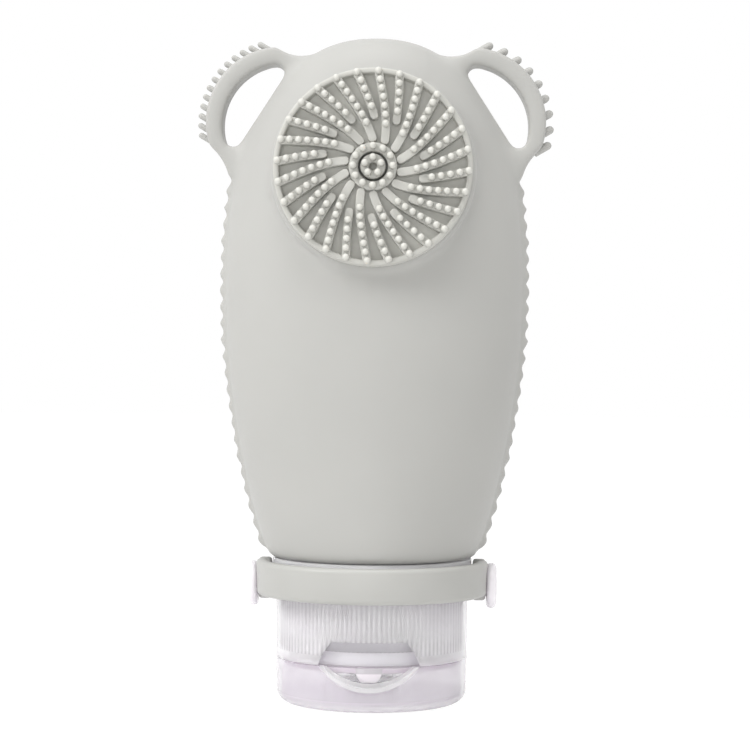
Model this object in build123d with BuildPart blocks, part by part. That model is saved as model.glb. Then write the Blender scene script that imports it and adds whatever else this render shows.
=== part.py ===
from build123d import *
from math import atan2, cos, degrees, exp, pi, radians, sin
import os

os.makedirs("parts", exist_ok=True)

# A soft squeeze bottle that stands upside down on its flip cap.
# Millimetres. The origin is the centre of the lid's flat face, the front faces -Y, +Z is up.

# Driving dimensions of the whole bottle
cap_dia = 40.0            # outside of the screw cap and its lid
lid_h = 9.3               # closed lid, up to the parting line
base_h = 12.7             # screw part of the cap
collar_h = 7.6            # hard collar above the cap
body_h = 108.6            # soft body, from the collar to the crown
body_w = 63.2             # widest front view of the soft body, without the side teeth
body_d = 43.2             # deepest side view of the soft body
body_wall = 2.2           # silicone wall

# Clearances and overruns
part_gap = 0.15           # parting line between lid and cap
run_gap = 0.25            # between the cap's rim and the collar
fit_gap = 0.05            # between pieces that fit into each other
seal_gap = 0.1            # beside the flat seals
cut_over = 2.0            # how far a cut runs past the face it opens

# Heights of the stack
cap_r = cap_dia / 2
base_z = lid_h + part_gap
base_top_z = base_z + base_h
collar_z = base_top_z + run_gap
body_z = collar_z + collar_h
crown_z = body_z + body_h

# Soft body: height, half width and half depth as shares of its height, width and depth
body_shares = [
    (0.000, 0.680, 0.991),
    (0.037, 0.733, 1.000),
    (0.101, 0.802, 1.000),
    (0.203, 0.884, 0.986),
    (0.313, 0.948, 0.954),
    (0.414, 0.987, 0.912),
    (0.516, 1.000, 0.861),
    (0.617, 0.989, 0.810),
    (0.709, 0.956, 0.750),
    (0.773, 0.902, 0.702),
    (0.838, 0.801, 0.636),
    (0.907, 0.652, 0.525),
    (0.964, 0.453, 0.350),
    (0.989, 0.272, 0.215),
    (1.000, 0.070, 0.060),
]
crown_count = 2           # stations at the crown that the cavity leaves out
body_floor = 2.6          # silicone between the collar and the cavity
rim_round = 1.0           # rounding of the body's bottom rim

# Soft neck that runs down through the collar
neck_r = 12.3             # outside of the soft neck
neck_wall = 1.5
lip_w = 1.6               # how far the lip at the end of the neck spreads
lip_h = 1.2

# Teeth along both sides of the body
tooth_count = 22
tooth_h = 0.9             # how far a tooth stands out
tooth_t = 4.6             # thickness of the row, front to back
tooth_root = 1.2          # how far the row reaches into the wall
first_tooth_share = 0.0345
last_tooth_share = 0.7030

# Finger loops, the ears, given for the +X side
ear_x = 19.85             # centre of the outer arc
ear_drop = 17.7           # its centre below the crown
ear_r = 15.75
ear_t = 7.0               # thickness, front to back
ear_bevel = 1.0           # bevel along the ear's edges
ear_corner_r = 3.0        # where the band's outline runs into the body
ear_from_deg = -20.0      # ends of the outer arc
ear_to_deg = 80.0
ear_in_share = 1.10       # corners of the ear inside the body, as shares of its radius
ear_low_share = 1.30
ear_top_share = 0.68
ear_foot_share = 0.9
ear_hole_r = 12.5         # outer arc of the hole
ear_hole_in = 0.75        # its centre, nearer to the axis than the outer arc's
ear_hole_down = 0.7       # and lower

# Pins on the outer edge of the ears
pin_rise_deg = 30.0       # all pins of an ear point the same way, this far above level
left_pin_count = 13
left_pin_r = 0.62
left_pin_reach = 1.7      # tips beyond the ear's edge
left_pin_from_deg = 73.0
left_pin_step_deg = 6.75
right_pin_count = 9
right_pin_r = 0.9
right_pin_reach = 1.6
right_pin_from_deg = 74.9
right_pin_step_deg = 11.06
pin_root = 1.6            # how far a pin reaches into the ear

# Scrubbing pad on the front
pad_r = 20.05             # outside of its ridge
pad_drop = 28.9           # centre below the crown
pad_seat = 17.35          # seat, in front of the axis
pad_lean_deg = 4.0        # its top leans back
boss_r = 20.8             # round boss of the body that carries the pad
pad_plate_t = 1.0
pad_ridge_w = 1.15
pad_rib_h = 2.0           # ridge, ribs and hub above the plate
rib_w = 1.7
rib_count = 14
rib_first_deg = -114.0
long_rib_r = 5.8          # inner end of a long rib
short_rib_r = 10.4        # inner end of a short rib
rib_end_r = 19.5
swirl_deg = 29.5          # the ribs curve by this much in the limit
swirl_fade = 10.6         # and come near to it over this radius
peg_r = 0.67
peg_h = 1.7
peg_tip_share = 0.66      # tip of a peg or a pin, as a share of its radius
peg_sides = 5
long_peg_from = 8.85
long_peg_count = 7
short_peg_from = 12.0
short_peg_count = 5
peg_to = 19.6             # outermost pegs, on the ridge
hub_r = 4.9
hub_hole_r = 3.0
hub_peg_r = 4.0
hub_peg_count = 12

# Button that holds the pad's middle
button_r = 2.55
button_hole_r = 0.8
button_peg_r = 1.7
button_peg_count = 5
button_stem_r = 1.6
button_stem_l = 3.0       # stem behind the pad

# Collar
collar_r = 20.8
collar_wall = 1.4
collar_top_t = 1.8
sleeve_wall = 1.9         # sleeve round the soft neck, threaded on the real one
pin_boss_r = 3.0          # inner bosses for the strap's pins
pin_boss_l = 2.6

# Strap pins and strap
pin_up = 1.8              # pin axis above the collar's lower edge
pin_shaft_r = 1.6
pin_disc_r = 4.7
pin_disc_t = 2.1
pin_disc_round = 0.95
pin_disc_gap = 0.2        # between disc and eyelet
strap_r = 24.3            # outside of the half loop
strap_t = 2.5
strap_h = 7.2
strap_round = 0.9
eyelet_r = 4.35
eyelet_t = 2.6
eyelet_gap = 0.3          # between eyelet and collar
eyelet_up = 1.2           # eyelet centre above the pin
strap_low = 1.9           # lower edge of the band below the pin
strap_play = 0.08         # eyelet bore round the pin
disc_play = 0.4           # strap round the pin's disc

# Screw part of the cap
skirt_wall = 1.2
deck_t = 1.8
inner_skirt_wall = 1.2
inner_skirt_short = 0.6   # inner skirt ends this far before the outer one
thread_gap = 0.6          # room for the thread between sleeve and inner skirt
spigot_wall = 1.1
spigot_h = 1.95           # rim that stands into the lid
spigot_gap = 0.4
orifice_r = 3.4
nozzle_wall = 1.0
nozzle_h = 1.6
notch_low_w = 17.9        # finger recess in the front of the screw part
notch_top_w = 15.5
notch_flat_h = 2.45       # its upright wall, from which a slanted one runs out to the skirt
notch_h = 4.3
notch_d = 2.1
notch_wall = 1.0
latch_r = 2.5             # latch nub at the front of the spigot
latch_low = 1.9           # how far it reaches below the spigot

# Lid
lid_wall = 1.25
lid_taper = 0.35          # the flat face is smaller in radius by this much
lid_top_t = 1.4
lid_round = 2.4
scoop_r = 13.0            # finger scoop, an arc in the front view
scoop_low = 3.7           # lowest point of the scoop
scoop_d = 5.2
plug_r = 1.7              # post that holds the valve shut
plug_gap = 0.25           # between the post and the valve
plug_ring_wall = 0.9      # ring round the nozzle
plug_ring_gap = 0.15
plug_ring_down = 0.6      # ring's end below the parting line
hinge_r = 0.45            # hinge bead along the back
hinge_w = 12.0
hinge_gap = 0.06
hinge_lug_h = 1.4
hinge_lug_in = 1.5        # how far the lugs reach into the walls
hinge_lug_out = 0.2       # lid lug beyond the bead's axis

# Seals inside the cap
gasket_t = 0.8
gasket_w = 3.6
valve_flange_r = 6.6
valve_t = 0.9
valve_wall = 0.5
valve_up = 0.4            # membrane above the parting line
valve_slit = 3.6
valve_slit_w = 0.2
retainer_r = 8.0
retainer_bore_r = 4.4
retainer_h = 2.2
retainer_boss_wall = 1.2


def at(radius, degrees):
    """Point at a radius and an angle in a sketch."""
    return (radius * cos(radians(degrees)), radius * sin(radians(degrees)))


def half_width(height):
    """Half width of the soft body at a height above its lower end."""
    rows = [(a * body_h, b * body_w / 2) for a, b, _ in body_shares]
    for (low, wide), (high, next_wide) in zip(rows, rows[1:]):
        if low <= height <= high:
            return wide + (next_wide - wide) * (height - low) / (high - low)
    return rows[-1][1]


def swirl(radius, start):
    """Angle of a rib at a radius: it turns quickly at first and then runs out straight."""
    return start + swirl_deg * (1 - exp(-(radius - long_rib_r) / swirl_fade))


def rib_line(inner, start):
    """Centre line of a rib from its inner end to the ridge."""
    middle = (inner + rib_end_r) / 2
    return ThreePointArc(*[at(r, swirl(r, start)) for r in (inner, middle, rib_end_r)])


def peg_form(radius, length):
    """A faceted peg that stands on the XY plane and narrows to its tip."""
    draft_deg = degrees(atan2(radius * (1 - peg_tip_share), length))
    with BuildPart() as form:
        with BuildSketch():
            RegularPolygon(radius=radius, side_count=peg_sides)
        extrude(amount=length, taper=draft_deg)
    return form.part


# Soft body
pad_z = crown_z - pad_drop
pad_out = Vector(0, -cos(radians(pad_lean_deg)), sin(radians(pad_lean_deg)))
pad_plane = Plane(origin=(0, -pad_seat, pad_z), x_dir=(1, 0, 0), z_dir=pad_out)
ear_z = crown_z - ear_drop
hole_x = ear_x - ear_hole_in
hole_z = ear_z - ear_hole_down
sleeve_r = neck_r + fit_gap + sleeve_wall
deck_z = base_z + deck_t
lip_z = deck_z + gasket_t + 2 * seal_gap
sleeve_z = lip_z + lip_h
bore_r = neck_r - neck_wall


def ear_pin_planes(side, count, radius, reach, first_deg, step_deg):
    """Planes at the feet of the parallel pins along the outer arc of one ear."""
    lean = pin_rise_deg if side > 0 else 180 - pin_rise_deg
    way = Vector(cos(radians(lean)), 0, sin(radians(lean)))
    planes = []
    for index in range(count):
        tip_x, tip_z = at(ear_r + reach, first_deg - index * step_deg)
        tip = Vector(side * (ear_x + tip_x), 0, ear_z + tip_z)
        foot = tip - way * (reach + pin_root + radius)
        planes.append(Plane(origin=foot, x_dir=(0, 1, 0), z_dir=way))
    return planes


# Ears: rings whose inner half lies in the body, which closes the hole's straight side
with BuildPart() as ear_form:
    with BuildSketch(Plane.XZ) as ear_band:
        with BuildLine():
            arc = CenterArc((ear_x, ear_z), ear_r, ear_from_deg, ear_to_deg - ear_from_deg)
            Polyline(
                arc @ 1,
                (ear_x - ear_r * ear_in_share, ear_z + ear_r * ear_top_share),
                (ear_x - ear_r * ear_in_share, ear_z - ear_r * ear_low_share),
                (ear_x + ear_r / 2, ear_z - ear_r * ear_foot_share),
                arc @ 0,
            )
        make_face()
        fillet(ear_band.vertices(), ear_corner_r)
        with Locations((hole_x, hole_z)):
            Circle(ear_hole_r, mode=Mode.SUBTRACT)
    extrude(amount=ear_t / 2, both=True)
    front_and_back = ear_form.faces().filter_by(Axis.Y)
    chamfer(front_and_back.edges(), ear_bevel)

with BuildPart() as ear_left:
    add(ear_form.part.mirror(Plane.YZ))
    pin = peg_form(left_pin_r, left_pin_reach + pin_root + left_pin_r)
    feet = ear_pin_planes(
        -1, left_pin_count, left_pin_r, left_pin_reach, left_pin_from_deg, left_pin_step_deg
    )
    with Locations(*[plane.location for plane in feet]):
        add(pin, clean=False)

with BuildPart() as ear_right:
    add(ear_form.part)
    pin = peg_form(right_pin_r, right_pin_reach + pin_root + right_pin_r)
    feet = ear_pin_planes(
        1, right_pin_count, right_pin_r, right_pin_reach, right_pin_from_deg, right_pin_step_deg
    )
    with Locations(*[plane.location for plane in feet]):
        add(pin, clean=False)

with BuildPart() as bottle_body:
    for up, wide, deep in body_shares:
        with BuildSketch(Plane.XY.offset(body_z + up * body_h)):
            Ellipse(wide * body_w / 2, deep * body_d / 2)
    loft()
    fillet(bottle_body.edges().sort_by(Axis.Z)[0], rim_round)
    # Round boss that carries the scrubbing pad
    with BuildSketch(pad_plane):
        Circle(boss_r)
    extrude(amount=-pad_seat)
    # Rows of teeth along both sides
    with BuildSketch(Plane.XZ):
        with BuildLine():
            first = first_tooth_share * body_h
            step = (last_tooth_share - first_tooth_share) * body_h / (tooth_count - 1)
            edge = []
            back = []
            for index in range(tooth_count):
                up = first + index * step
                edge.append((half_width(up - step / 2), body_z + up - step / 2))
                edge.append((half_width(up) + tooth_h, body_z + up))
                back.append((half_width(up) - tooth_root, body_z + up))
            last = first + (tooth_count - 1 / 2) * step
            edge.append((half_width(last), body_z + last))
            Polyline(*edge, *reversed(back), close=True)
        make_face()
        mirror(about=Plane.YZ)
    extrude(amount=tooth_t / 2, both=True)
    add(ear_left.part)
    add(ear_right.part)
    # Cavity and soft neck
    with BuildSketch(Plane.XY.offset(lip_z)):
        Circle(neck_r)
    extrude(amount=body_z + body_floor - lip_z)
    with BuildSketch(Plane.XY.offset(lip_z)):
        Circle(neck_r + lip_w)
    extrude(amount=lip_h)
    for up, wide, deep in body_shares[:-crown_count]:
        with BuildSketch(Plane.XY.offset(body_z + body_floor + up * (body_h - body_floor - body_wall))):
            Ellipse(wide * body_w / 2 - body_wall, deep * body_d / 2 - body_wall)
    loft(mode=Mode.SUBTRACT)
    with BuildSketch(Plane.XY.offset(lip_z - cut_over)):
        Circle(bore_r)
    extrude(amount=body_z + body_floor + cut_over - lip_z + cut_over, mode=Mode.SUBTRACT)
    # Socket for the button's stem
    with BuildSketch(pad_plane):
        Circle(button_stem_r + fit_gap)
    extrude(amount=-button_stem_l, mode=Mode.SUBTRACT)

# Scrubbing pad
pegs = []
for copy in range(rib_count):
    long_start = rib_first_deg + copy * 360 / rib_count
    short_start = long_start + 180 / rib_count
    for first, count, start in (
        (long_peg_from, long_peg_count, long_start),
        (short_peg_from, short_peg_count, short_start),
    ):
        for index in range(count):
            radius = first + (peg_to - first) * index / (count - 1)
            pegs.append(at(radius, swirl(radius, start)))
for index in range(hub_peg_count):
    pegs.append(at(hub_peg_r, 90 + index * 360 / hub_peg_count))

peg = peg_form(peg_r, peg_h)
long_rib = SlotArc(rib_line(long_rib_r, rib_first_deg), rib_w)
short_rib = SlotArc(rib_line(short_rib_r, rib_first_deg + 180 / rib_count), rib_w)
with BuildPart() as brush_pad:
    with BuildSketch(pad_plane):
        Circle(pad_r)
        Circle(hub_hole_r, mode=Mode.SUBTRACT)
    extrude(amount=pad_plate_t)
    with BuildSketch(pad_plane.offset(pad_plate_t)):
        Circle(pad_r)
        Circle(pad_r - pad_ridge_w, mode=Mode.SUBTRACT)
        with PolarLocations(0, rib_count):
            add(long_rib)
            add(short_rib)
        Circle(hub_r)
        Circle(hub_hole_r, mode=Mode.SUBTRACT)
    extrude(amount=pad_rib_h)
    top = pad_plane.offset(pad_plate_t + pad_rib_h)
    with Locations(*[top.location * Location(place) for place in pegs]):
        add(peg, clean=False)

with BuildPart() as brush_button:
    with BuildSketch(pad_plane.offset(-button_stem_l)):
        Circle(button_stem_r)
    extrude(amount=button_stem_l + pad_plate_t)
    with BuildSketch(pad_plane):
        Circle(button_r)
        Circle(button_hole_r, mode=Mode.SUBTRACT)
    extrude(amount=pad_plate_t + pad_rib_h)
    places = [at(button_peg_r, 90 + index * 360 / button_peg_count) for index in range(button_peg_count)]
    with Locations(*[top.location * Location(place) for place in places]):
        add(peg, clean=False)

# Hard collar with its sleeve
pin_z = collar_z + pin_up
with BuildPart() as neck_collar:
    with BuildSketch(Plane.XZ):
        with BuildLine():
            Polyline(
                (collar_r - collar_wall, collar_z),
                (collar_r, collar_z),
                (collar_r, body_z),
                (sleeve_r - sleeve_wall, body_z),
                (sleeve_r - sleeve_wall, sleeve_z),
                (sleeve_r, sleeve_z),
                (sleeve_r, body_z - collar_top_t),
                (collar_r - collar_wall, body_z - collar_top_t),
                close=True,
            )
        make_face()
    revolve(axis=Axis.Z)
    for side in (-1, 1):
        inside = Plane(origin=(side * (collar_r - collar_wall / 2), 0, pin_z), z_dir=(-side, 0, 0))
        with BuildSketch(inside):
            Circle(pin_boss_r)
        extrude(amount=pin_boss_l)
        with BuildSketch(inside.offset(-collar_wall)):
            Circle(pin_shaft_r + fit_gap)
        extrude(amount=collar_wall + pin_boss_l + cut_over, mode=Mode.SUBTRACT)
    with BuildSketch(Plane.XY.offset(collar_z)):
        Circle(collar_r + cut_over)
        Circle(sleeve_r, mode=Mode.SUBTRACT)
    extrude(amount=-pin_boss_r, mode=Mode.SUBTRACT)

# Strap pins: a shaft through the eyelet and a round disc outside
eyelet_x = collar_r + eyelet_gap
disc_x = eyelet_x + eyelet_t + pin_disc_gap
shaft_x = collar_r - collar_wall - pin_boss_l / 2


def strap_pin(side):
    """One of the two pins that hold the strap's ends on the collar."""
    with BuildPart() as pin:
        with BuildSketch(Plane(origin=(side * shaft_x, 0, pin_z), z_dir=(side, 0, 0))):
            Circle(pin_shaft_r)
        extrude(amount=disc_x - shaft_x)
        with BuildSketch(Plane(origin=(side * disc_x, 0, pin_z), z_dir=(side, 0, 0))):
            Circle(pin_disc_r)
        extrude(amount=pin_disc_t)
        outer_face = pin.faces().sort_by(Axis.X)[-1 if side > 0 else 0]
        fillet(outer_face.edges(), pin_disc_round)
    return pin


strap_pin_left = strap_pin(-1)
strap_pin_right = strap_pin(1)

# Strap: half a ring in front of the collar, with an eyelet at each end
with BuildPart() as carry_strap:
    with BuildSketch(Plane.XY.offset(pin_z - strap_low)):
        Circle(strap_r)
        Circle(strap_r - strap_t, mode=Mode.SUBTRACT)
        with Locations((0, strap_r)):
            Rectangle(2 * strap_r + cut_over, 2 * strap_r, mode=Mode.SUBTRACT)
    extrude(amount=strap_h)
    outer_rims = carry_strap.edges().filter_by(lambda edge: edge.length > pi * (strap_r - strap_t / 2))
    fillet(outer_rims, strap_round)
    for side in (-1, 1):
        with BuildSketch(Plane(origin=(side * eyelet_x, 0, pin_z + eyelet_up), z_dir=(side, 0, 0))):
            Circle(eyelet_r)
        extrude(amount=eyelet_t)
        pin_axis = Plane(origin=(side * eyelet_x, 0, pin_z), z_dir=(side, 0, 0))
        with BuildSketch(pin_axis.offset(-cut_over)):
            Circle(pin_shaft_r + strap_play)
        extrude(amount=eyelet_t + 2 * cut_over, mode=Mode.SUBTRACT)
        with BuildSketch(pin_axis.offset(eyelet_t)):
            Circle(pin_disc_r + disc_play)
        extrude(amount=cut_over, mode=Mode.SUBTRACT)

# Screw part of the cap
inner_skirt_r = sleeve_r + thread_gap + inner_skirt_wall
spigot_r = cap_r - lid_wall - spigot_gap
boss_z = deck_z + valve_t + retainer_h
boss_in_r = retainer_r + fit_gap
hinge_y = cap_r + hinge_r
hinge_z = lid_h + part_gap / 2
with BuildPart() as cap_base:
    with BuildSketch(Plane.XZ):
        with BuildLine():
            Polyline(
                (orifice_r, base_z - nozzle_h),
                (orifice_r + nozzle_wall, base_z - nozzle_h),
                (orifice_r + nozzle_wall, base_z),
                (spigot_r - spigot_wall, base_z),
                (spigot_r - spigot_wall, base_z - spigot_h),
                (spigot_r, base_z - spigot_h),
                (spigot_r, base_z),
                (cap_r, base_z),
                (cap_r, base_top_z),
                (cap_r - skirt_wall, base_top_z),
                (cap_r - skirt_wall, deck_z),
                (inner_skirt_r, deck_z),
                (inner_skirt_r, base_top_z - inner_skirt_short),
                (inner_skirt_r - inner_skirt_wall, base_top_z - inner_skirt_short),
                (inner_skirt_r - inner_skirt_wall, deck_z),
                (boss_in_r + retainer_boss_wall, deck_z),
                (boss_in_r + retainer_boss_wall, boss_z),
                (boss_in_r, boss_z),
                (boss_in_r, deck_z),
                (orifice_r, deck_z),
                close=True,
            )
        make_face()
    revolve(axis=Axis.Z)
    # Finger recess in the front: its own wall, and the cut in front of that wall
    notch_y = cap_r - notch_d
    skirt_in = cap_r - skirt_wall
    with BuildSketch(Plane(origin=(-notch_low_w / 2, 0, base_z), x_dir=(0, -1, 0), z_dir=(-1, 0, 0))):
        Polygon(
            (notch_y - notch_wall, 0),
            (skirt_in, 0),
            (skirt_in, notch_h + notch_wall),
            (notch_y - notch_wall, notch_flat_h + notch_wall),
            align=None,
        )
    extrude(amount=-notch_low_w)
    with BuildPart(mode=Mode.PRIVATE) as notch_form:
        for up, wide in ((0, notch_low_w), (notch_flat_h, notch_low_w)):
            with BuildSketch(Plane.XY.offset(base_z + up)):
                with Locations((0, -notch_y)):
                    Rectangle(wide, notch_d + cut_over, align=(Align.CENTER, Align.MAX))
        loft()
        for up, wide, front in ((notch_flat_h, notch_low_w, notch_y), (notch_h, notch_top_w, cap_r)):
            with BuildSketch(Plane.XY.offset(base_z + up)):
                with Locations((0, -front)):
                    Rectangle(wide, cap_r + cut_over - front + notch_d, align=(Align.CENTER, Align.MAX))
        loft()
    add(notch_form.part, mode=Mode.SUBTRACT)
    # Latch nub that the lid's front snaps over
    with BuildSketch(Plane(origin=(0, -spigot_r + spigot_wall, base_z), x_dir=(1, 0, 0), z_dir=(0, -1, 0))):
        with Locations((0, -spigot_h - latch_low + latch_r)):
            Circle(latch_r)
        with Locations((0, latch_r)):
            Rectangle(2 * latch_r, 2 * latch_r, mode=Mode.SUBTRACT)
    extrude(amount=spigot_wall)
    # Hinge bead and the lug that carries it
    with BuildSketch(Plane(origin=(-hinge_w / 2, 0, 0), x_dir=(0, 1, 0), z_dir=(1, 0, 0))):
        with Locations((hinge_y, hinge_z)):
            Circle(hinge_r)
        with Locations((hinge_y, base_z)):
            Rectangle(
                hinge_r + hinge_lug_in, hinge_lug_h, align=(Align.MAX, Align.MIN)
            )
    extrude(amount=hinge_w)

# Lid
plug_ring_r = orifice_r + nozzle_wall + plug_ring_gap
membrane_z = base_z + valve_up
with BuildPart() as flip_lid:
    with BuildSketch(Plane.XZ):
        with BuildLine():
            Polyline(
                (0, 0),
                (cap_r - lid_taper, 0),
                (cap_r, lid_h),
                (cap_r - lid_wall, lid_h),
                (cap_r - lid_wall, lid_top_t),
                (plug_ring_r + plug_ring_wall, lid_top_t),
                (plug_ring_r + plug_ring_wall, lid_h - plug_ring_down),
                (plug_ring_r, lid_h - plug_ring_down),
                (plug_ring_r, lid_top_t),
                (plug_r, lid_top_t),
                (plug_r, membrane_z - plug_gap),
                (0, membrane_z - plug_gap),
                close=True,
            )
        make_face()
    revolve(axis=Axis.Z)
    fillet(flip_lid.edges().filter_by(GeomType.CIRCLE).group_by(Axis.Z)[0], lid_round)
    with BuildSketch(Plane(origin=(0, -cap_r - cut_over, 0), x_dir=(1, 0, 0), z_dir=(0, -1, 0))):
        with Locations((0, scoop_low + scoop_r)):
            Circle(scoop_r)
    extrude(amount=-scoop_d - cut_over, mode=Mode.SUBTRACT)
    with BuildSketch(Plane(origin=(-hinge_w / 2, 0, 0), x_dir=(0, 1, 0), z_dir=(1, 0, 0))):
        with Locations((hinge_y + hinge_lug_out, lid_h)):
            Rectangle(
                hinge_r + hinge_lug_in + hinge_lug_out, hinge_lug_h, align=(Align.MAX, Align.MAX)
            )
    extrude(amount=hinge_w)
    with BuildSketch(Plane(origin=(-hinge_w / 2 - cut_over, 0, 0), x_dir=(0, 1, 0), z_dir=(1, 0, 0))):
        with Locations((hinge_y, hinge_z)):
            Circle(hinge_r + hinge_gap)
    extrude(amount=hinge_w + 2 * cut_over, mode=Mode.SUBTRACT)

# Slit valve, its retainer and the flat gasket
with BuildPart() as slit_valve:
    with BuildSketch(Plane.XZ):
        with BuildLine():
            Polyline(
                (0, membrane_z),
                (orifice_r - fit_gap, membrane_z),
                (orifice_r - fit_gap, deck_z),
                (valve_flange_r, deck_z),
                (valve_flange_r, deck_z + valve_t),
                (orifice_r - fit_gap - valve_wall, deck_z + valve_t),
                (orifice_r - fit_gap - valve_wall, membrane_z + valve_wall),
                (0, membrane_z + valve_wall),
                close=True,
            )
        make_face()
    revolve(axis=Axis.Z)
    with BuildSketch(Plane.XY.offset(membrane_z - cut_over)):
        Rectangle(valve_slit, valve_slit_w)
        Rectangle(valve_slit_w, valve_slit)
    extrude(amount=2 * cut_over, mode=Mode.SUBTRACT)

with BuildPart() as valve_retainer:
    with BuildSketch(Plane.XY.offset(deck_z + valve_t)):
        Circle(retainer_r)
        Circle(retainer_bore_r, mode=Mode.SUBTRACT)
    extrude(amount=retainer_h)

with BuildPart() as cap_gasket:
    with BuildSketch(Plane.XY.offset(deck_z + seal_gap)):
        Circle(sleeve_r)
        Circle(sleeve_r - gasket_w, mode=Mode.SUBTRACT)
    extrude(amount=gasket_t)

pieces = {
    "bottle_body": bottle_body,
    "brush_pad": brush_pad,
    "brush_button": brush_button,
    "neck_collar": neck_collar,
    "strap_pin_left": strap_pin_left,
    "strap_pin_right": strap_pin_right,
    "carry_strap": carry_strap,
    "cap_base": cap_base,
    "flip_lid": flip_lid,
    "slit_valve": slit_valve,
    "valve_retainer": valve_retainer,
    "cap_gasket": cap_gasket,
}
for name, piece in pieces.items():
    piece.part.label = name
    export_step(piece.part, f"parts/{name}.step")
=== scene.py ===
from math import atan2, cos, exp, pi, radians, sin

import bpy
from mathutils import Euler, Matrix, Vector


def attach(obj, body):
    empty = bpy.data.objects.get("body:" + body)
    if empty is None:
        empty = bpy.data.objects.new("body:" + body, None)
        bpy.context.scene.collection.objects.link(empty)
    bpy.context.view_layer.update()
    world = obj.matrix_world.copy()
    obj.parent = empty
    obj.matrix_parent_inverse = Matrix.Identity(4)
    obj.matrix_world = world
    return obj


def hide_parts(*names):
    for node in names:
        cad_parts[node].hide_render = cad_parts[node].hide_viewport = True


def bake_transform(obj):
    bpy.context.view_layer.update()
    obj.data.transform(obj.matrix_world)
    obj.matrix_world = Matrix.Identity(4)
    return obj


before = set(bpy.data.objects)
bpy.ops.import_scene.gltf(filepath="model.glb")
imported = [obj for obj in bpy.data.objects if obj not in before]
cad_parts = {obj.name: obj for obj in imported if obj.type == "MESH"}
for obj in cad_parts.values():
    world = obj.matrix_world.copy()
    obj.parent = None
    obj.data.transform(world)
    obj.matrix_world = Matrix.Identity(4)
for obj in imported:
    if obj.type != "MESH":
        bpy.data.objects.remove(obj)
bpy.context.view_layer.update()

mm = 0.001
alongY = (pi / 2, 0, 0)
alongX = (0, pi / 2, 0)
sameSpot = 0.000001
mergeWithin = 0.00001


# small helpers

def deselectAll():
    if bpy.context.mode != "OBJECT":
        bpy.ops.object.mode_set(mode="OBJECT")
    bpy.ops.object.select_all(action="DESELECT")


def pick(*pieces):
    deselectAll()
    for piece in pieces:
        piece.select_set(True)
    bpy.context.view_layer.objects.active = pieces[0]


def newest(name):
    # names what was just added, and puts its place into its mesh
    bpy.ops.object.transform_apply(location=True, rotation=True, scale=True)
    piece = bpy.context.object
    piece.name = name
    piece.data.name = name
    return piece


def cylinder(name, radius, depth, place=(0, 0, 0), sides=96, turn=(0, 0, 0), scale=(1, 1, 1)):
    # lengths and place in millimetres
    deselectAll()
    bpy.ops.mesh.primitive_cylinder_add(
        vertices=sides, radius=radius * mm, depth=depth * mm,
        location=[length * mm for length in place], rotation=turn, scale=scale
    )
    return newest(name)


def editMode(piece, kind="VERT"):
    pick(piece)
    bpy.ops.object.mode_set(mode="EDIT")
    bpy.ops.mesh.select_mode(type=kind)
    bpy.ops.mesh.select_all(action="DESELECT")


def selectWhere(piece, test, kind="VERT"):
    # leaves edit mode, marks what passes the test, and goes back
    editMode(piece, kind)
    bpy.ops.object.mode_set(mode="OBJECT")
    mesh = piece.data
    parts = {"VERT": mesh.vertices, "EDGE": mesh.edges, "FACE": mesh.polygons}[kind]
    for part in parts:
        part.select = test(part)
    bpy.ops.object.mode_set(mode="EDIT")


def applyAll(piece):
    pick(piece)
    bpy.ops.object.transform_apply(location=True, rotation=True, scale=True)


def addModifier(piece, kind, **settings):
    pick(piece)
    bpy.ops.object.modifier_add(type=kind)
    modifier = piece.modifiers[-1]
    for key, value in settings.items():
        setattr(modifier, key, value)
    bpy.ops.object.modifier_apply(modifier=modifier.name)


def cutWith(piece, cutter, how="DIFFERENCE"):
    addModifier(piece, "BOOLEAN", operation=how, object=cutter, solver="EXACT")
    pick(cutter)
    bpy.ops.object.delete()


def joinAll(pieces, name):
    pick(*pieces)
    bpy.ops.object.join()
    return newest(name)


def copyOf(piece):
    pick(piece)
    bpy.ops.object.duplicate(linked=False)
    return bpy.context.object


def smoothAngle(piece, degreesLimit=35):
    pick(piece)
    bpy.ops.object.shade_smooth_by_angle(angle=radians(degreesLimit))


def smoothAll(piece):
    pick(piece)
    bpy.ops.object.shade_smooth()


def tidyNormals(piece):
    editMode(piece)
    bpy.ops.mesh.select_all(action="SELECT")
    bpy.ops.mesh.remove_doubles(threshold=mergeWithin)
    bpy.ops.mesh.normals_make_consistent(inside=False)
    bpy.ops.object.mode_set(mode="OBJECT")


def profileRun(name, points, closed):
    # one vertex that is extruded from point to point, in the X-Z plane
    deselectAll()
    bpy.ops.mesh.primitive_plane_add(size=mm, location=(0, 0, 0))
    piece = newest(name)
    bpy.ops.object.mode_set(mode="EDIT")
    bpy.ops.mesh.select_mode(type="VERT")
    bpy.ops.mesh.select_all(action="SELECT")
    bpy.ops.mesh.merge(type="CENTER")
    last = Vector((points[0][0] * mm, 0, points[0][1] * mm))
    bpy.ops.transform.translate(value=last)
    for x, z in points[1:]:
        here = Vector((x * mm, 0, z * mm))
        bpy.ops.mesh.extrude_vertices_move(TRANSFORM_OT_translate={"value": here - last})
        last = here
    if closed:
        ends = (Vector((points[0][0] * mm, 0, points[0][1] * mm)), last)
        bpy.ops.object.mode_set(mode="OBJECT")
        for vertex in piece.data.vertices:
            vertex.select = min((vertex.co - end).length for end in ends) < sameSpot
        bpy.ops.object.mode_set(mode="EDIT")
        bpy.ops.mesh.edge_face_add()
    bpy.ops.object.mode_set(mode="OBJECT")
    return piece


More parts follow.
